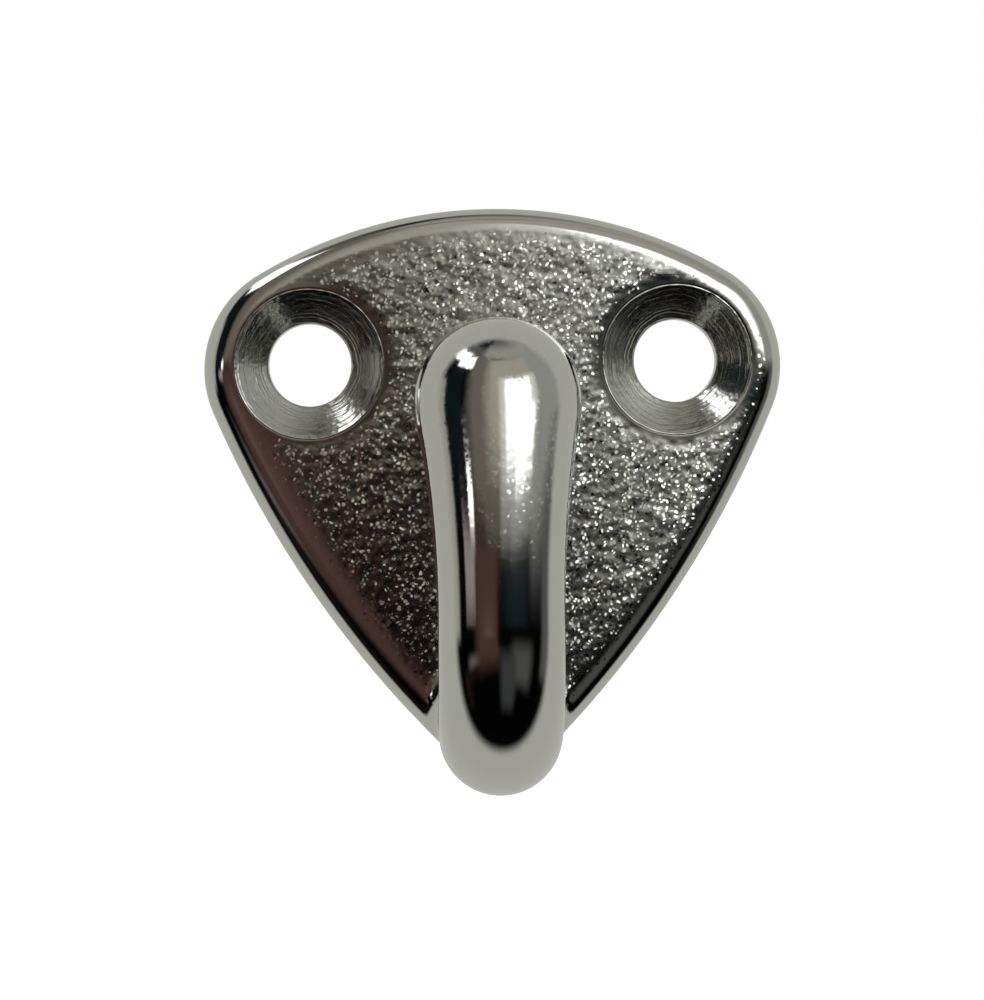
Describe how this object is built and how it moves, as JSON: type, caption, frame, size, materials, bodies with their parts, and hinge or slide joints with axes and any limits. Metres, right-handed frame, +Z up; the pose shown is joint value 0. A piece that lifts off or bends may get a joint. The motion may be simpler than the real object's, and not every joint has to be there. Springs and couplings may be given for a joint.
{
  "type": "awning hook",
  "caption": "Bright metal hook for an awning edge or lacing line: a rounded triangular plate with countersunk screw holes and a round finger that bends up to a ball tip.",
  "frame": {"origin": "on the flat back, midway between the two screw holes", "axes": "+Z up with the hook's tip up, +X to the right seen from the front, -Y away from the wall"},
  "size_m": [0.03, 0.0169, 0.0297],
  "materials": {
    "bright_metal": "polished over a cast orange-peel grain"
  },
  "bodies": {
    "root": {"awning_hook": "bright_metal"}
  },
  "joints": []
}
